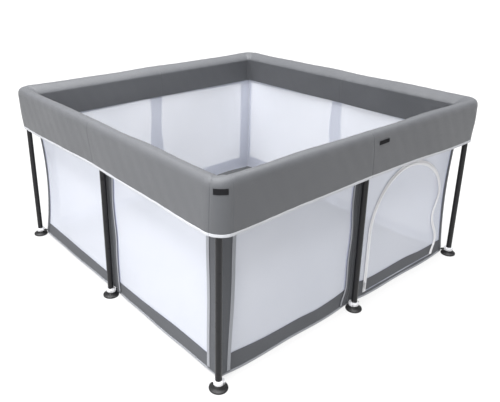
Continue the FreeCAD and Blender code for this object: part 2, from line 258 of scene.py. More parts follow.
def lathe(name, profile, centre, material, segments=56):
    """A turned piece: a closed outline of (radius, height) about an upright axis."""
    points, faces = [], []
    count = len(profile)
    for radius, z in profile:
        for k in range(segments):
            angle = 2 * math.pi * k / segments
            x, y = radius * math.cos(angle), radius * math.sin(angle)
            points.append((centre.x + x, centre.y + y, z))
    for i in range(count):
        j = (i + 1) % count
        for k in range(segments):
            m = (k + 1) % segments
            faces.append((i * segments + k, i * segments + m, j * segments + m, j * segments + k))
    piece = make_object(name, points, faces, material)
    piece.data.set_sharp_from_angle(angle=math.radians(35))
    return piece


def turn(number):
    """The rotation that takes the front to side number 0 to 3, anticlockwise from above."""
    angle = number * math.pi / 2
    c, s = round(math.cos(angle)), round(math.sin(angle))
    return np.array([[c, -s, 0], [s, c, 0], [0, 0, 1]], float)


def smooth(x, low, high):
    """0 below low, 1 above high, and a soft step between."""
    t = np.clip((x - low) / (high - low), 0, 1)
    return t * t * (3 - 2 * t)


def place(piece, body, slot, squash=None, anchor=None, keep=1.0):
    """The piece rides on a body, and gets a mesh of its own if an axis is given."""
    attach(piece, body)
    if squash is not None:
        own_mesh(piece)
        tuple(squash)
        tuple(anchor)
    return piece


# ---- materials -------------------------------------------------------------
def shader(name, colour, roughness, **sockets):
    """A Principled material, and the tree and shader node to add detail to."""
    material = bpy.data.materials.new(name)
    material.use_nodes = True
    bsdf = material.node_tree.nodes["Principled BSDF"]
    bsdf.inputs["Base Color"].default_value = (*colour, 1)
    bsdf.inputs["Roughness"].default_value = roughness
    for socket, value in sockets.items():
        bsdf.inputs[socket.replace("_", " ")].default_value = value
    return material, material.node_tree, bsdf


def node(tree, kind, *inputs, **settings):
    """A node with its settings, and its inputs linked or set in order."""
    made = tree.nodes.new(kind)
    for key, value in settings.items():
        setattr(made, key, value)
    for socket, value in zip(made.inputs, inputs):
        if isinstance(value, bpy.types.NodeSocket):
            tree.links.new(value, socket)
        elif value is not None:
            socket.default_value = value
    return made


def maths(tree, operation, a, b=None):
    return node(tree, "ShaderNodeMath", a, b, operation=operation).outputs[0]


def position(tree):
    """The x, y and z of a point on the object, at rest, in metres."""
    where = node(tree, "ShaderNodeTexCoord").outputs["Object"]
    return node(tree, "ShaderNodeSeparateXYZ", where).outputs


def noise(tree, scale, detail=3.0, roughness=0.55):
    where = node(tree, "ShaderNodeTexCoord").outputs["Object"]
    made = node(tree, "ShaderNodeTexNoise", where)
    made.inputs["Scale"].default_value = scale
    made.inputs["Detail"].default_value = detail
    made.inputs["Roughness"].default_value = roughness
    return made.outputs["Fac"]


def threads(tree, pitch):
    """A plain weave's height, from 0 to 1, on faces that look along x, y or z."""
    x, y, z = position(tree)
    turns = 2 * math.pi / pitch
    across = maths(tree, "SINE", maths(tree, "MULTIPLY", maths(tree, "ADD", x, y), turns))
    up = maths(tree, "SINE", maths(tree, "MULTIPLY", maths(tree, "SUBTRACT", z, y), turns))
    product = maths(tree, "MULTIPLY", across, up)
    return maths(tree, "ADD", maths(tree, "MULTIPLY", product, 0.5), 0.5)


def tint(tree, bsdf, factor, dark, light):
    """Base colour from dark to light as the factor goes from 0 to 1."""
    mix = node(tree, "ShaderNodeMix", data_type="RGBA")
    tree.links.new(factor, mix.inputs["Factor"])
    mix.inputs[6].default_value = (*dark, 1)
    mix.inputs[7].default_value = (*light, 1)
    tree.links.new(mix.outputs[2], bsdf.inputs["Base Color"])


def bump(tree, bsdf, height, distance, strength=1.0):
    made = node(tree, "ShaderNodeBump")
    made.inputs["Strength"].default_value = strength
    made.inputs["Distance"].default_value = distance
    tree.links.new(height, made.inputs["Height"])
    tree.links.new(made.outputs["Normal"], bsdf.inputs["Normal"])


def shades(colour, amount):
    """The colour a little darker and a little lighter."""
    dark = tuple(c * (1 - amount) for c in colour)
    light = tuple(c * (1 + amount) for c in colour)
    return dark, light


def woven(name, colour, pitch, variation=0.08, thread_high=0.0002, roughness=0.8, **sockets):
    """A woven cloth: threads in relief, with soft patches of lighter and darker dye."""
    material, tree, bsdf = shader(name, colour, roughness, **sockets)
    weave = threads(tree, pitch)
    patches = noise(tree, 9.0)
    grain = maths(tree, "MULTIPLY", weave, 0.25)
    factor = maths(tree, "ADD", maths(tree, "MULTIPLY", patches, 0.75), grain)
    tint(tree, bsdf, factor, *shades(colour, variation))
    bump(tree, bsdf, weave, thread_high)
    return material


def net():
    """Fine white net: knots and threads that let some of what is behind show through."""
    material, tree, bsdf = shader("net", (0.74, 0.76, 0.82), 0.9, Specular_IOR_Level=0.1)
    weave = threads(tree, 0.0022)
    soft = noise(tree, 3.5, 2.0)
    tint(tree, bsdf, soft, (0.69, 0.72, 0.80), (0.78, 0.80, 0.87))
    alpha = maths(tree, "ADD", maths(tree, "MULTIPLY", weave, 0.30), 0.66)
    tree.links.new(alpha, bsdf.inputs["Alpha"])
    bump(tree, bsdf, weave, 0.0002, 0.5)
    return material


def coated_metal():
    """Black powder coat with its fine orange peel and a few paler rubs."""
    material, tree, bsdf = shader("powder_coat", (0.022, 0.023, 0.025), 0.34, Specular_IOR_Level=0.3)
    peel = noise(tree, 900.0, 2.0)
    rubs = noise(tree, 60.0, 5.0)
    tint(tree, bsdf, rubs, (0.006, 0.006, 0.007), (0.016, 0.016, 0.018))
    rough = maths(tree, "ADD", maths(tree, "MULTIPLY", rubs, 0.16), 0.22)
    tree.links.new(rough, bsdf.inputs["Roughness"])
    bump(tree, bsdf, peel, 0.00008)
    return material


def moulded(name, colour, roughness, grain=0.00012):
    """Moulded plastic or rubber with a fine spark-eroded grain."""
    material, tree, bsdf = shader(name, colour, roughness)
    fine = noise(tree, 1400.0, 2.0)
    broad = noise(tree, 35.0, 4.0)
    tint(tree, bsdf, broad, *shades(colour, 0.12))
    rough = maths(tree, "ADD", maths(tree, "MULTIPLY", broad, 0.2), roughness - 0.1)
    tree.links.new(rough, bsdf.inputs["Roughness"])
    bump(tree, bsdf, fine, grain)
    return material


BAND = woven("band_oxford", (0.094, 0.098, 0.107), 0.0012, roughness=0.5, Sheen_Weight=0.12)
STRIP = woven(
    "strip_oxford", (0.112, 0.117, 0.128), 0.0012, Sheen_Weight=0.05, Specular_IOR_Level=0.25,
)
LINING = woven("strip_lining", (0.39, 0.44, 0.72), 0.0012, variation=0.05)
FLOOR = woven("floor_oxford", (0.088, 0.091, 0.096), 0.0016, variation=0.12, thread_high=0.0004)
BINDING = woven("binding_tape", (0.56, 0.57, 0.60), 0.0009, variation=0.05, Specular_IOR_Level=0.2)
TRIM = woven("trim_tape", (0.36, 0.37, 0.40), 0.0009, variation=0.06, Specular_IOR_Level=0.2)
ZIP = woven("zip_tape_white", (0.86, 0.86, 0.88), 0.0008, variation=0.03)
NET = net()
METAL = coated_metal()
HUB = moulded("hub_plastic", (0.026, 0.027, 0.029), 0.5)
RUBBER = moulded("foot_rubber", (0.006, 0.006, 0.007), 0.55)
WHITE = moulded("white_plastic", (0.66, 0.66, 0.68), 0.42)
LABEL = woven("label_satin", (0.012, 0.012, 0.014), 0.0006, variation=0.3, Specular_IOR_Level=0.15)
WEBBING = woven("black_webbing", (0.012, 0.012, 0.013), 0.0014, variation=0.2)


# ---- the band's shape ------------------------------------------------------
def section(q):
    """Outward place and height on the band's section.

    q goes from 0 at the outer lower edge to 1 where the roll begins, over the top to 2,
    and down the inner face to 3.
    """
    roll = np.clip(q - 1, 0, 1) * math.pi
    c, s = np.cos(roll), np.sin(roll)
    power = np.where(c > 0, ROLL_OUT_POWER, ROLL_IN_POWER)
    half_wide = np.where(c > 0, BAND_OUT - CREST, CREST - BAND_IN)
    n_roll = CREST + half_wide * np.sign(c) * np.abs(c) ** (2 / power)
    z_roll = ROLL_Z + ROLL_HIGH * np.abs(s) ** (2 / power)
    n_outer = BAND_OUT - BAND_TAPER * (1 - q) ** 2
    n_inner = BAND_IN + 0.4 * BAND_TAPER * (q - 2) ** 2
    z_outer = BAND_BOTTOM + (ROLL_Z - BAND_BOTTOM) * q
    z_inner = ROLL_Z - (ROLL_Z - INNER_BOTTOM) * (q - 2)
    n = np.where(q < 1, n_outer, np.where(q > 2, n_inner, n_roll))
    z = np.where(q < 1, z_outer, np.where(q > 2, z_inner, z_roll))
    return n, z


def top_at(n):
    """Height of the band's rounded top at a place outwards from the posts' line."""
    power = np.where(n > CREST, ROLL_OUT_POWER, ROLL_IN_POWER)
    half_wide = np.where(n > CREST, BAND_OUT - CREST, CREST - BAND_IN)
    share = np.clip(np.abs(n - CREST) / half_wide, 0, 1)
    return ROLL_Z + ROLL_HIGH * (1 - share ** power) ** (1 / power)


def corner_radius(n):
    """Radius of the band's corner seen from above, n outwards from the posts' line."""
    return INNER_CORNER_R + (n - BAND_IN) / (BAND_OUT - BAND_IN) * (OUTER_CORNER_R - INNER_CORNER_R)


def sleeve_end(n):
    """How far along the side the straight band goes, before the corner piece begins."""
    return PITCH + n - corner_radius(n) - CORNER_STRAIGHT


def straight_base(number, x, q):
    """A side's plain shape. Its lower edge bows up in the middle."""
    n, z = section(q)
    along = np.clip(1 - (x / 0.54) ** 2, 0, 1) ** 2
    bow = LOWER_BOW * along * np.maximum(1 - q, 0) ** 1.3
    return stack(x, -(PITCH + n), z + bow) @ turn(number).T


def corner_base(number, u, q):
    """The corner at the start of a side: u from -1 to 0 and from 1 to 2 is straight."""
    n, z = section(q)
    radius = corner_radius(n)
    centre = -(PITCH + n) + radius
    angle = math.pi + np.clip(u, 0, 1) * math.pi / 2
    x = centre + radius * np.cos(angle) + np.maximum(u - 1, 0) * CORNER_STRAIGHT
    y = centre + radius * np.sin(angle) - np.minimum(u, 0) * CORNER_STRAIGHT
    return stack(x, y, z) @ turn(number).T


def ripple(points):
    """Small swells and puckers of the band's cloth, which depend only on the place."""
    x, y, z = points[..., 0], points[..., 1], points[..., 2]
    along = 11 * x + 13 * y
    swell = 0.0011 * np.sin(along + 9 * z) + 0.0007 * np.sin(2.3 * (x - y) * 9 + 21 * z + 1.0)
    pucker = 0.0005 * np.sin(47 * x - 39 * y + 60 * z) * np.sin(5 * along)
    return swell + pucker


def seam(distance):
    """The dip of the cloth at a distance from a seam's line."""
    return -SEAM_DEEP * np.exp(-(distance / SEAM_WIDE) ** 2)


def over(base):
    """The surface with its ripples, from a function of u and q for its plain shape."""
    def surface(u, q):
        points, normal = slopes(base, u, q)
        return points + normal * ripple(points)[..., None]
    return surface


def mid_surface(number):
    """The band over a side's middle post, with its leaning seam."""
    def seamed(x, q):
        points, normal = slopes(lambda a, b: straight_base(number, a, b), x, q)
        line = MID_SEAM_LOW + (MID_SEAM_HIGH - MID_SEAM_LOW) * np.clip(q, 0, 1)
        return points + normal * (ripple(points) + seam(x - line))[..., None]
    return seamed


def corner_surface(number):
    """The band over a corner post, with two seams outside, and tucks and a crease inside."""
    def creased(u, q):
        points, normal = slopes(lambda a, b: corner_base(number, a, b), u, q)
        inside = smooth(q, 1.75, 2.2)
        window = np.sin(math.pi * np.clip((u + 1) / 3, 0, 1)) ** 2
        tucks = 0.0010 * np.sin(3 * math.pi * (u - 0.5)) * window * smooth(q, 1.35, 1.7)
        crease = -0.0014 * np.exp(-((u - 0.5) / 0.16) ** 2) * inside
        arc = corner_radius(section(q)[0]) * math.pi / 2
        line = CORNER_SEAM_LOW + (CORNER_SEAM_HIGH - CORNER_SEAM_LOW) * np.clip(q, 0, 1)
        left = seam((u - line) * arc)
        right = 0.4 * seam((u - CORNER_SEAM_RIGHT) * arc)
        shift = ripple(points) + tucks + crease + (left + right) * (1 - smooth(q, 1.5, 1.9))
        return points + normal * shift[..., None]
    return creased


def sleeve_surface(number, start, end):
    """Straight band between two ends, each given as a function of n."""
    def base(u, q):
        n, _ = section(q)
        return straight_base(number, start(n) + (end(n) - start(n)) * u, q)
    return over(base)


def lower_edge(surface):
    """A binding round the lower edge of the outer cloth, from that cloth's surface."""
    def wrapped(u, v):
        side, height = soft_box(v, BINDING_THICK, BINDING_HIGH)
        q = (BINDING_HIGH / 2 - 0.001) / (ROLL_Z - BAND_BOTTOM) * np.ones_like(u)
        points, normal = slopes(surface, u, q)
        middle = points - normal * (BAND_CLOTH / 2)
        return middle + normal * side[..., None] + np.array([0, 0, 1.0]) * height[..., None]
    return wrapped


def q_rows(low, high):
    """Rows of the section, closer together over the roll.

    None lies just on the crest or at 2, where the roll's curvature has no limit.
    """
    flat = [q for q in np.linspace(0, 1, 15) if low <= q <= high]
    roll = [q for q in np.linspace(1, 2, 42)[1:-1] if low < q < high]
    inner = [q for q in np.linspace(2.02, 3, 13) if low <= q <= high]
    return np.array(sorted({low, high, *flat, *roll, *inner}))


def side_axis(number):
    """Axis along a side, given as the squash axis of pieces on it."""
    return tuple(turn(number) @ np.array([1.0, 0.0, 0.0]))


def mid_of(number):
    """Place of a side's middle post."""
    return tuple(turn(number) @ np.array([0.0, -PITCH, 0.0]))


CAP_SQUASH = {"squash": (0, 0, 1), "anchor": (0, 0, BAND_HIGH.z), "keep": CAP_KEEP}
SLEEVE_SQUASH = {"squash": (0, 0, 1), "anchor": (0, 0, SLEEVE_ANCHOR), "keep": SLEEVE_KEEP}


def bay_of(number, right):
    """Name of the bay on a side: the one towards its last corner, or the one before its middle."""
    across = {
        "front": ("left", "right"), "right": ("front", "back"),
        "back": ("right", "left"), "left": ("back", "front"),
    }
    return f"{SIDES[number]}_{across[SIDES[number]][1 if right else 0]}"


def bound_cloth(name, binding, body, surface, columns, rows, flat):
    """A piece of the band's cloth, with the binding along its lower edge."""
    piece = cloth(name, surface, columns, rows, BAND_CLOTH, BAND)
    edge = tube(binding, lower_edge(surface), columns, 16, BINDING)
    place(piece, body, "band_fabric", **flat)
    place(edge, body, "light_binding", **flat)
    return piece


def build_caps(number):
    """The band over a side's middle post, and over the corner post where the side begins."""
    side, corner = SIDES[number], CORNERS[number]
    columns = np.linspace(-HUB_TO_PIVOT, HUB_TO_PIVOT, 73)
    cap = bound_cloth(
        f"{side}_band_mid_cap", f"{side}_band_mid_binding", f"{side}_mid",
        mid_surface(number), columns, q_rows(0, 3), CAP_SQUASH,
    )
    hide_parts(f"{side}_band")
    columns = np.concatenate([
        np.linspace(-1, 0, 4), np.linspace(0, 1, 97)[1:], np.linspace(1, 2, 4)[1:],
    ])
    bound_cloth(
        f"{corner}_band_cap", f"{corner}_band_binding", corner,
        corner_surface(number), columns, q_rows(0, 3), CAP_SQUASH,
    )


def build_sleeves(number, right):
    """The band over a bay: outer cloth on each half rail, and inner cloth on the middle post."""
    side, bay, way = SIDES[number], bay_of(number, right), 1 if right else -1

    def between(near, far):
        start, end = (near, far) if right else (far, near)
        return sleeve_surface(number, start, end)

    def at_hub(n):
        return way * HUB_TO_PIVOT

    def at_knee(n):
        return way * KNEE_X

    def at_corner(n):
        return way * sleeve_end(n)

    for half, surface in (
        ("corner", between(at_knee, at_corner)), ("mid", between(at_hub, at_knee)),
    ):
        name = f"{bay}_band_sleeve_{half}"
        bound_cloth(
            name, f"{name}_binding", f"{bay}_rail_{half}",
            surface, np.linspace(0, 1, 33), q_rows(0, TOP_SPLIT), SLEEVE_SQUASH,
        )
    columns, rows = np.linspace(0, 1, 65), q_rows(TOP_SPLIT, 3)
    inner = cloth(
        f"{bay}_band_inner", between(at_hub, at_corner), columns, rows, BAND_CLOTH, BAND,
    )
    place(
        inner, f"{side}_mid", "band_fabric",
        squash=side_axis(number), anchor=mid_of(number), keep=INNER_KEEP,
    )


def build_band():
    for number in range(4):
        build_caps(number)
        for right in (False, True):
            build_sleeves(number, right)


def build_hoods():
    """Rounded cloth over each rail's pivot, which shows only when the rails drop."""
    radius, low, high = 0.0265, -0.030, 0.0285          # low to high is outwards from the posts
    under, thick, fill = 0.0045, 0.001, 0.2             # gap below the band's top, and the cloth
    for number, side in enumerate(SIDES):
        spots = [
            (f"{side}_mid", HUB_TO_PIVOT), (f"{side}_mid", -HUB_TO_PIVOT),
            (CORNERS[number], -PITCH + HUB_TO_PIVOT),
            (CORNERS[(number + 1) % 4], PITCH - HUB_TO_PIVOT),
        ]
        for count, (body, x) in enumerate(spots):
            def quarter(u, v, x=x, number=number):
                angle = math.pi * (1.15 * v - 0.075)
                n = high + (low - high) * u
                bulge = np.minimum(radius, top_at(n) - PIVOT.z - under)
                way = x + bulge * np.cos(angle)
                height = PIVOT.z + bulge * np.sin(angle)
                return stack(way, -(PITCH + n), height) @ turn(number).T
            name = f"{side}_hood_{count}"
            hood = cloth(name, quarter, np.linspace(0, 1, 9), np.linspace(0, 1, 19), thick, BAND)
            place(hood, body, "band_fabric")


# ---- walls -----------------------------------------------------------------
def wall_point(number, x, lift, z):
    """Where a point of a flat wall lies on the real one, lift outwards from the net.

    The corners pull in at mid height, and the cloth has slow waves.
    """
    x, lift, z = np.broadcast_arrays(*(np.asarray(value, float) for value in (x, lift, z)))
    inside = np.clip((z - PINCH_LOW) / (PINCH_HIGH - PINCH_LOW), 0, 1)
    pinch = np.where(x < 0, PINCHES[number], PINCHES[(number + 1) % 4])
    pull = pinch * np.sin(math.pi * inside) ** 0.8
    reach = np.abs(x) / WALL_END
    stretch = smooth(reach, 0.55, 1.0)
    lean = smooth(reach, 0.72, 1.0)
    along = x - np.sign(x) * pull * stretch
    calm = smooth(z, 0.0, 0.1) * (1 - smooth(z, 0.44, 0.52)) * np.sin(math.pi * np.clip(reach, 0, 1))
    phase = 1.7 * number
    wave = 0.0022 * np.sin(13 * x + 5 * z + phase) * calm
    n = -WALL_IN - pull * lean + wave + lift
    return stack(along, -(PITCH + n), z) @ turn(number).T


def hump(x, place, wide):
    """A smooth bump, 1 high."""
    return np.exp(-((x - place) / wide) ** 2)


def hem_height(number, x):
    """Height of the walls' bottom edge, which is near the ground and tied up at the posts."""
    w = np.abs(x)
    slack = 0.0015 * np.cos(2 * math.pi * w / 0.29 + number)
    return 0.0085 + 0.007 * hump(w, 0.0, 0.06) + 0.005 * hump(w, WALL_END, 0.05) + slack


def skirt_height(number, x):
    """Height of the top of the grey cloth along the walls' foot."""
    w = np.abs(x)
    if number == 0:
        left = 0.064 + 0.008 * hump(x, -WALL_END, 0.12) - 0.006 * hump(x, -0.17, 0.06)
        right = 0.071 - 0.006 * smooth(x, 0.30, 0.42)
        return np.where(x < 0, left, right) + 0.014 * hump(x, 0.0, 0.06)
    far_end = {1: x, 2: -x}.get(number, -1.0 + 0 * x)
    rise = 0.034 * smooth(far_end, -0.15, 0.30)
    return 0.059 + 0.003 * np.cos(2 * math.pi * w / 0.6 + 0.8 * number) + rise


def hung(number, low, high, lift, top):
    """A wall's cloth between two places along the side, from the hem up to top(x)."""
    def surface(u, v):
        x = low + (high - low) * u
        foot = hem_height(number, x)
        return wall_point(number, x, lift, foot + (top(x) - foot) * v)
    return surface


def foot_strip(name, number, low, high, top):
    """Grey cloth outside the net along the foot of a wall."""
    surface = hung(number, low, high, STRIP_LIFT, top)
    columns = np.linspace(0, 1, max(3, int(abs(high - low) / 0.012)))
    return cloth(name, surface, columns, np.linspace(0, 1, 3), CLOTH_THICK, STRIP, LINING)


def strip_end(number, way, wide, z):
    """How far along a side the corner's grey strip begins, at a height."""
    narrower = 0.016 * (1 - z / 0.45) if number == 0 and wide > EDGE_STRIP else 0.0
    return way * (WALL_END - wide + narrower + 0.0012 * np.sin(19 * z + number))


def corner_strip(name, number, way, wide):
    """Grey cloth outside the net, from the corner to its own edge."""
    foot = hem_height(number, way * WALL_END)

    def surface(u, v):
        z = foot + (WALL_TOP - foot) * v
        inner = strip_end(number, way, wide, z)
        low, high = (inner, WALL_END) if way > 0 else (-WALL_END, inner)
        return wall_point(number, low + (high - low) * u, STRIP_LIFT + 0.0012, z)
    columns, rows = np.linspace(0, 1, 7), np.linspace(0, 1, 37)
    return cloth(name, surface, columns, rows, CLOTH_THICK, STRIP, LINING)


def piping(name, number, path, us, wide, high, material, lift):
    """Tape or binding along a path of (x, z) on a side's wall, its middle lift out from the net."""
    def surface(u, v):
        side, height = soft_box(v, wide, high)
        step = 1e-4
        x, z = path(u)
        ahead_x, ahead_z = path(u + step)
        behind_x, behind_z = path(u - step)
        dx, dz = ahead_x - behind_x, ahead_z - behind_z
        length = np.maximum(np.hypot(dx, dz), 1e-12)
        return wall_point(number, x + dz / length * side, lift + height, z - dx / length * side)
    return tube(name, surface, us, 12, material)


def flattened(number):
    """Squash settings for a wall's pieces: the side's axis, its middle post, and the share they
    keep.
    """
    return {"squash": side_axis(number), "anchor": mid_of(number), "keep": WALL_KEEP}


def build_bay(number, right):
    """A bay's net, the grey cloth round it and its light edges."""
    side, bay, way = SIDES[number], bay_of(number, right), 1 if right else -1
    mid = f"{side}_mid"
    has_door = number == 0 and right
    low, high = (0.0, WALL_END) if right else (-WALL_END, 0.0)
    flat = flattened(number)

    if has_door:
        panel = doorway_panel(f"{bay}_net")
    else:
        surface = hung(number, low, high, 0.0, lambda x: WALL_TOP)
        columns, rows = np.linspace(0, 1, 41), np.linspace(0, 1, 37)
        panel = cloth(f"{bay}_net", surface, columns, rows, 0, NET)
    if right:
        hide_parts(f"{side}_wall")
    place(panel, mid, "wall_mesh", **flat)

    def top(x):
        return skirt_height(number, x)

    def sill(x):
        return DOOR_SILL - 0.004 + 0 * x

    if has_door:
        left, right_edge = door_x(-1, 0.05) - 0.001, door_x(1, 0.05) + 0.001
        spans = [(0.0, left, top), (right_edge, WALL_END, top), (left, right_edge, sill)]
    else:
        spans = [(low, high, top)]
    skirt = join(f"{bay}_skirt", [
        foot_strip(f"{bay}_skirt_{k}", number, start, end, head)
        for k, (start, end, head) in enumerate(spans)
    ])
    place(skirt, mid, "band_fabric", **flat)

    strip_wide = EDGE_STRIP if (side, right) in NARROW_ENDS else CORNER_STRIP
    strip = corner_strip(f"{bay}_corner_strip", number, way, strip_wide)
    place(strip, mid, "band_fabric", **flat)

    def hem_path(u):
        x = low + (high - low) * u
        return x, hem_height(number, x) - 0.0015

    def strip_path(u):
        z = 0.020 + (WALL_TOP - 0.020) * u
        return strip_end(number, way, strip_wide, z) + way * CORNER_TRIM / 2, z

    def corner_line(u, v):
        out, round_way = soft_box(v, 0.0050, 0.0050, 2.0)
        z = 0.014 + (WALL_TOP - 0.014) * u
        return wall_point(number, way * (WALL_END + 0.0010) + out, 0.0010 + round_way, z)

    columns, rows = np.linspace(0, 1, 71), np.linspace(0, 1, 41)
    edges = [
        piping(f"{bay}_hem", number, hem_path, columns, HEM_WIDE, HEM_THICK, TRIM, HEM_LIFT),
    ]
    if strip_wide > EDGE_STRIP:
        edges.append(piping(
            f"{bay}_edge", number, strip_path, rows, CORNER_TRIM, TRIM_THICK, TRIM, CORNER_TRIM_LIFT,
        ))
    if not right:
        edges.append(tube(f"{bay}_corner_line", corner_line, rows, 12, BINDING))
    place(join(f"{bay}_wall_binding", edges), mid, "light_binding", **flat)


def build_mid_strip(number):
    """The grey strip over a side's middle post, with light tape near both edges."""
    side = SIDES[number]
    mid = f"{side}_mid"
    foot = hem_height(number, 0.0)

    def strip_edge(z, way):
        stray = 0.0040 * np.sin(25 * z + 2.0 * number + 2.4 * way) * smooth(z, 0.1, 0.25)
        flare = 0.020 * (1 - smooth(z, 0.02, 0.09)) * (1 if number == 0 and way < 0 else 0.2)
        return way * (STRIP_HALF + stray + flare)

    def surface(u, v):
        z = foot + (WALL_TOP - foot) * v
        left, right_edge = strip_edge(z, -1), strip_edge(z, 1)
        folds = 0.0016 * np.sin(9 * math.pi * u + 3 * z) * np.sin(math.pi * u)
        return wall_point(number, left + (right_edge - left) * u, STRIP_LIFT + 0.003 + folds, z)

    columns, rows = np.linspace(0, 1, 25), np.linspace(0, 1, 61)
    strip = cloth(f"{side}_mid_strip", surface, columns, rows, CLOTH_THICK, STRIP, LINING)
    place(strip, mid, "band_fabric")

    trims = []
    for way in (-1, 1):
        def trim_path(u, way=way):
            z = 0.022 + (WALL_TOP - 0.022) * u
            return strip_edge(z, way) - way * MID_TRIM / 2, z
        trims.append(piping(
            f"{side}_trim_{way}", number, trim_path, rows, MID_TRIM, TRIM_THICK, TRIM, MID_TRIM_LIFT,
        ))
    place(join(f"{side}_mid_strip_binding", trims), mid, "light_binding")


def build_walls():
    for number in range(4):
        for right in (False, True):
            build_bay(number, right)
        build_mid_strip(number)


# ---- door ------------------------------------------------------------------
def leg_shift(x, z):
    """How far the hanging cloth carries the doorway's right side from its arch and leg."""
    low = (0.005 + 0.020 * np.cos(2 * math.pi * (z - 0.300) / 0.21)) * smooth(z, 0.0, 0.06)
    high = 0.025 * (1 - smooth(z, 0.30, 0.47))
    return np.where(z < 0.300, low, high) * smooth(x, DOOR_MID, DOOR_MID + DOOR_R * 0.8)


def door_x(way, z):
    """The doorway's edge on the left, way -1, or on the right, way 1."""
    z = np.asarray(z, float)
    rise = np.clip((z - DOOR_SPRING) / DOOR_R, 0, 1)
    x = DOOR_MID + way * DOOR_R * np.sqrt(1 - rise ** 2)
    return x + leg_shift(x, z)


def outline(t, inset=0.0):
    """The doorway's edge: t from 0 to 1 up the left leg, to 2 over the arch, to 3 down again."""
    radius = DOOR_R - inset
    angle = math.pi * (2 - np.clip(t, 1, 2))
    leg = DOOR_SPRING - DOOR_SILL
    z_up = DOOR_SILL + leg * t
    z_down = DOOR_SPRING - leg * (t - 2)
    x = DOOR_MID + radius * np.cos(angle)
    z = DOOR_SPRING + radius * np.sin(angle)
    z = np.where(t < 1, z_up, np.where(t > 2, z_down, z))
    x = np.where(t < 1, DOOR_MID - radius, np.where(t > 2, DOOR_MID + radius, x))
    return x + leg_shift(x, z), z


def frame_round(t):
    """The bay's edge: the point of it that a point of the doorway's outline is joined to."""
    legs_z = DOOR_SILL + (DOOR_SPRING - DOOR_SILL) * np.where(t < 1, t, 3 - t)
    turned = np.clip(t, 1, 2) - 1
    up = DOOR_SPRING + (WALL_TOP - DOOR_SPRING) * np.clip(4 * np.minimum(turned, 1 - turned), 0, 1)
    z = np.where((t < 1) | (t > 2), legs_z, up)
    x = WALL_END * np.clip(2 * (turned - 0.25), 0, 1)
    return np.where(t < 1, 0.0, np.where(t > 2, WALL_END, x)), z


def doorway_panel(name):
    """The net of the bay with the door, from the doorway out to the bay's edges."""
    def ring(u, v):
        x0, z0 = outline(u)
        x1, z1 = frame_round(u)
        return wall_point(0, x0 + (x1 - x0) * v, 0.0, z0 + (z1 - z0) * v)
    below = hung(0, 0.0, WALL_END, 0.0, lambda x: DOOR_SILL)
    legs = np.linspace(0, 1, 17)
    columns = np.concatenate([legs, np.linspace(1, 2, 49)[1:], 2 + legs[1:]])
    parts = [
        cloth(name, ring, columns, np.linspace(0, 1, 17), 0, NET),
        cloth(f"{name}_sill", below, np.linspace(0, 1, 31), np.linspace(0, 1, 2), 0, NET),
    ]
    return join(name, parts)


def flap_surface(lift, high):
    """The door's own cloth, edge to edge, from its bottom up to high(u)."""
    def surface(u, v):
        low = DOOR_SILL + 0.001
        z = low + (high(u) - low) * v
        left, right = door_x(-1, z) + DOOR_GAP, door_x(1, z) - DOOR_GAP
        return wall_point(0, left + (right - left) * u, lift, z)
    return surface


def build_door():
    top = DOOR_SPRING + DOOR_R
    flat = flattened(0)
    net_surface = flap_surface(0.0, lambda u: top - 0.0006 + 0 * u)

    def eased(u, v):
        return net_surface(u, np.sin(0.5 * math.pi * v))
    columns, rows = np.linspace(0, 1, 33), np.linspace(0, 1, 57)
    flap = cloth("door_net", eased, columns, rows, 0, NET)
    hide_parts("door_flap")
    place(flap, "door", "wall_mesh", **flat)

    foot = flap_surface(STRIP_LIFT, lambda u: skirt_height(0, DOOR_MID + DOOR_R * (2 * u - 1)))
    skirt = cloth("door_skirt", foot, columns, np.linspace(0, 1, 3), CLOTH_THICK, STRIP, LINING)
    place(skirt, "door", "band_fabric", **flat)

    leg = np.linspace(0, 1, 31)
    along = np.concatenate([leg, np.linspace(1, 2, 61)[1:], 2 + leg[1:]])
    for name, body, inset, node_name in (
        ("zip_tape_outer", "front_mid", -TAPE_SIDE, "zip_tape_wall"),
        ("zip_tape_inner", "door", TAPE_SIDE, "zip_tape_door"),
    ):
        def path(share, inset=inset):
            return lambda u: outline(u, share * inset)
        tape = join(name, [
            piping(name, 0, path(1.0), along, TAPE_WIDE, TAPE_THICK, ZIP, TAPE_LIFT),
            piping(f"{name}_coil", 0, path(0.2), along, COIL_WIDE, COIL_WIDE, ZIP, COIL_LIFT),
        ])
        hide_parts(node_name)
        place(tape, body, "light_binding", **flat)


# ---- floor -----------------------------------------------------------------
def floor_top(x, y):
    """Height of the floor's upper face: flat, with soft swells, and puffed up along the walls."""
    half = -WALL_LOW.y - 0.006
    to_edge = np.minimum(half - np.abs(x), half - np.abs(y))
    puff = 0.5 + 0.5 * np.sin(23 * x - 2.0) * np.cos(19 * y + 0.6)
    far = smooth(x + y, 0.3, 1.0)
    rise = (0.004 + 0.012 * puff + 0.016 * far) * (1 - smooth(to_edge, 0.0, 0.06))
    swell = 0.0011 * np.sin(9 * x + 2 * y) + 0.0009 * np.sin(12 * y - 3 * x)
    return FLOOR_TOP + rise + swell * smooth(to_edge, 0, 0.05) * 0.8


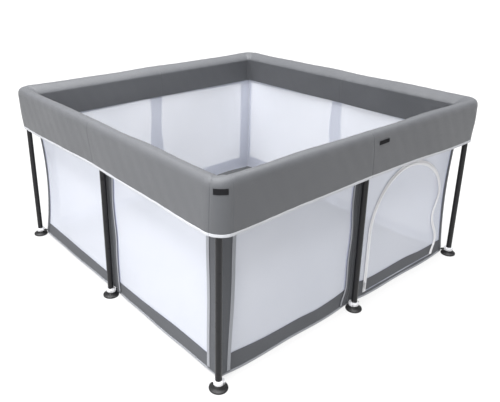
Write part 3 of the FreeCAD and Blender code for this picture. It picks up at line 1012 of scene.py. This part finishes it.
def build_floor():
    for name in ("left_outer", "left_inner", "right_inner", "right_outer"):
        low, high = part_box(f"floor_panel_{name}")

        def surface(u, v, low=low, high=high):
            x = low.x + (high.x - low.x) * u
            y = low.y + (high.y - low.y) * v
            return stack(x, y, floor_top(x, y))
        rows = np.concatenate([
            np.linspace(0, 0.05, 6), np.linspace(0.05, 0.95, 61)[1:-1], np.linspace(0.95, 1, 6),
        ])
        columns = np.linspace(0, 1, 21)
        if name.endswith("outer"):
            fine = np.linspace(0, 0.2, 9) if name.startswith("left") else np.linspace(0.8, 1, 9)
            columns = np.array(sorted(set(np.round(np.concatenate([columns, fine]), 6))))
        panel = cloth(f"floor_{name}_cloth", surface, columns, rows, FLOOR_CLOTH, FLOOR)
        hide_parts(f"floor_panel_{name}")
        place(
            panel, f"floor_{name}", "floor_fabric",
            squash=(0, 1, 0), anchor=(0, 0, 0), keep=FLOOR_KEEP,
        )


# ---- feet and ties ---------------------------------------------------------
def build_feet():
    """Rubber cups and white collars, and the hook and webbing that tie the walls to them."""
    cup = [
        (0.004, 0.004), (0.020, 0.0005), (0.0255, 0.0), (0.0275, 0.0008), (0.028, 0.0025),
        (0.0275, 0.0050), (0.0262, 0.0062), (0.0240, 0.0070), (0.0205, 0.0095), (0.0180, 0.0130),
        (0.0165, 0.0165), (0.0150, 0.0180), (0.0110, 0.0182), (0.004, 0.0182),
    ]
    collar = [
        (0.0102, 0.0178), (0.0150, 0.0178), (0.0156, 0.0186), (0.0156, 0.0252), (0.0150, 0.0266),
        (0.0138, 0.0272), (0.0118, 0.0300), (0.0102, 0.0302),
    ]
    for name in [f"{side}_mid" for side in SIDES] + list(CORNERS):
        low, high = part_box(f"{name}_post")
        centre = Vector(((low.x + high.x) / 2, (low.y + high.y) / 2, 0))
        rubber = lathe(f"{name}_cup", cup, centre, RUBBER)
        ring = lathe(f"{name}_collar", collar, centre, WHITE)
        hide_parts(f"{name}_foot")
        place(rubber, name, "foot_rubber")
        place(ring, name, "white_plastic")
        inward = Vector([-math.copysign(1, c) if abs(c) > 0.1 else 0.0 for c in centre]).normalized()
        build_tie(name, centre, inward, 0.036 if name in CORNERS else 0.022)


def build_tie(name, centre, inward, reach):
    """A hook round the inner side of the collar, and webbing from it to the wall's lower edge."""
    side = Vector((-inward.y, inward.x, 0))
    start = centre + inward * 0.0135 + Vector((0, 0, 0.0235))
    end = centre + inward * reach + Vector((0, 0, 0.0215))

    def hook(u, v):
        across, height = soft_box(v, 0.008, 0.0030)
        arc = math.pi * (-0.62 + 1.24 * u)
        c, s = np.cos(arc), np.sin(arc)
        out = stack(inward.x * c + side.x * s, inward.y * c + side.y * s, 0.0)
        return stack(centre.x, centre.y, 0.0225 + across) + out * (0.0172 + height)[..., None]

    def strap(u, v):
        across, height = soft_box(v, 0.014, 0.0016)
        line = np.array(start) + (np.array(end) - np.array(start)) * u[..., None]
        sag = -0.002 * np.sin(math.pi * u)
        lift = stack(0 * u, 0 * u, sag + height)
        return line + lift + np.array(side) * across[..., None]
    band = tube(f"{name}_tie_strap", strap, np.linspace(0, 1, 9), 12, WEBBING)
    clip = tube(f"{name}_tie_hook", hook, np.linspace(0, 1, 25), 12, WHITE)
    place(band, name, "black_webbing")
    place(clip, name, "white_plastic")


# ---- labels, and the CAD pieces' materials ---------------------------------
def build_labels():
    """Two plain black tabs, on the front's middle and at the front left corner."""
    low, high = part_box("side_label")

    def side_tab(u, v):
        x = low.x + (high.x - low.x) * u
        z = low.z + (high.z - low.z) * v
        q = (z - BAND_BOTTOM) / (ROLL_Z - BAND_BOTTOM)
        points, normal = slopes(lambda a, b: straight_base(0, a, b), x, q)
        edge = 0.0004 * (np.cos(2 * math.pi * u) ** 8 + np.cos(2 * math.pi * v) ** 8)
        return points + normal * (ripple(points) + 0.0010 + edge)[..., None]
    columns, rows = np.linspace(0, 1, 31), np.linspace(0, 1, 13)
    tab = cloth("side_tab", side_tab, columns, rows, TAB_THICK, LABEL)
    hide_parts("side_label")
    place(tab, "front_mid", "black_webbing", squash=(1, 0, 0), anchor=(low.x, 0, 0), keep=0.45)

    low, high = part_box("corner_label")
    share = CORNER_TAB / (OUTER_CORNER_R * math.pi / 2)

    def corner_tab(u, v):
        z = low.z + (high.z - low.z) * v
        q = np.minimum((z - BAND_BOTTOM) / (ROLL_Z - BAND_BOTTOM), 1 + (z - ROLL_Z) * 6.0)
        around = 0.57 + (u - 0.5) * share
        points, normal = slopes(corner_surface(0), around, q)
        return points + normal * 0.0011
    tab = cloth("corner_tab", corner_tab, columns, rows, TAB_THICK, LABEL)
    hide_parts("corner_label")
    place(tab, "front_left", "black_webbing", **CAP_SQUASH)


def paint_frame():
    """Materials for the CAD pieces that keep their own shape."""
    looks = {"_post": METAL, "_rail_corner_half": METAL, "_rail_mid_half": METAL, "_hub": HUB}
    looks |= {"zip_slider": WHITE, "zip_pull": WHITE}
    for name, piece in frame["nodes"].items():
        for ending, material in looks.items():
            if name.endswith(ending):
                piece.data.materials.clear()
                piece.data.materials.append(material)


# ---- studio ----------------------------------------------------------------
def build_studio():
    """White surroundings, a soft light overhead, two windows, and pale paper on the ground."""
    world = bpy.data.worlds.new("studio")
    bpy.context.scene.world = world
    world.use_nodes = True
    sky = world.node_tree.nodes["Background"]
    sky.inputs["Color"].default_value = (1.0, 1.0, 1.0, 1)
    sky.inputs["Strength"].default_value = 0.27

    overhead = bpy.data.lights.new("overhead", "SUN")
    overhead.energy = 7.5
    overhead.angle = math.radians(50)
    lamp = add_object("overhead", overhead)
    lamp.rotation_euler = (math.radians(-2), math.radians(-6), 0)

    windows = (
        ("left_window", (-1.9, -0.75, 1.25), (-0.6, -0.30, 0.66), 0.9, 18.0),
        ("inner_window", (-0.25, -0.15, 1.30), (-0.42, 0.57, 0.60), 0.4, 5.0),
    )
    for name, place_at, aim, wide, power in windows:
        light = bpy.data.lights.new(name, "AREA")
        light.energy = power
        light.size = wide
        lamp = add_object(name, light)
        lamp.location = place_at
        towards = Vector(aim) - Vector(place_at)
        lamp.rotation_euler = towards.to_track_quat("-Z", "Y").to_euler()

    material, tree, bsdf = shader("ground_paper", (0.16, 0.16, 0.16), 0.9, Specular_IOR_Level=0.0)
    bsdf.inputs["Emission Color"].default_value = (1, 1, 1, 1)
    bsdf.inputs["Emission Strength"].default_value = 0.76
    points = [(-30, -30, 0), (30, -30, 0), (30, 30, 0), (-30, 30, 0)]
    make_object("ground", points, [(0, 1, 2, 3)], material)


def build_camera():
    camera = bpy.data.cameras.new("camera")
    camera.sensor_width = 36.0
    camera.lens = 42.01
    camera.shift_x = 0.0696
    camera.shift_y = -0.0836
    camera.clip_end = 100
    holder = add_object("camera", camera)
    holder.location = (-1.4394, -1.6127, 1.1799)
    azimuth, elevation = math.radians(-39.25), math.radians(20.47)
    holder.rotation_euler = (math.radians(90) - elevation, 0, azimuth)
    bpy.context.scene.camera = holder
    bpy.context.scene.view_settings.view_transform = "Standard"


build_camera()
build_studio()
paint_frame()
build_band()
build_hoods()
build_walls()
build_door()
build_floor()
build_feet()
build_labels()
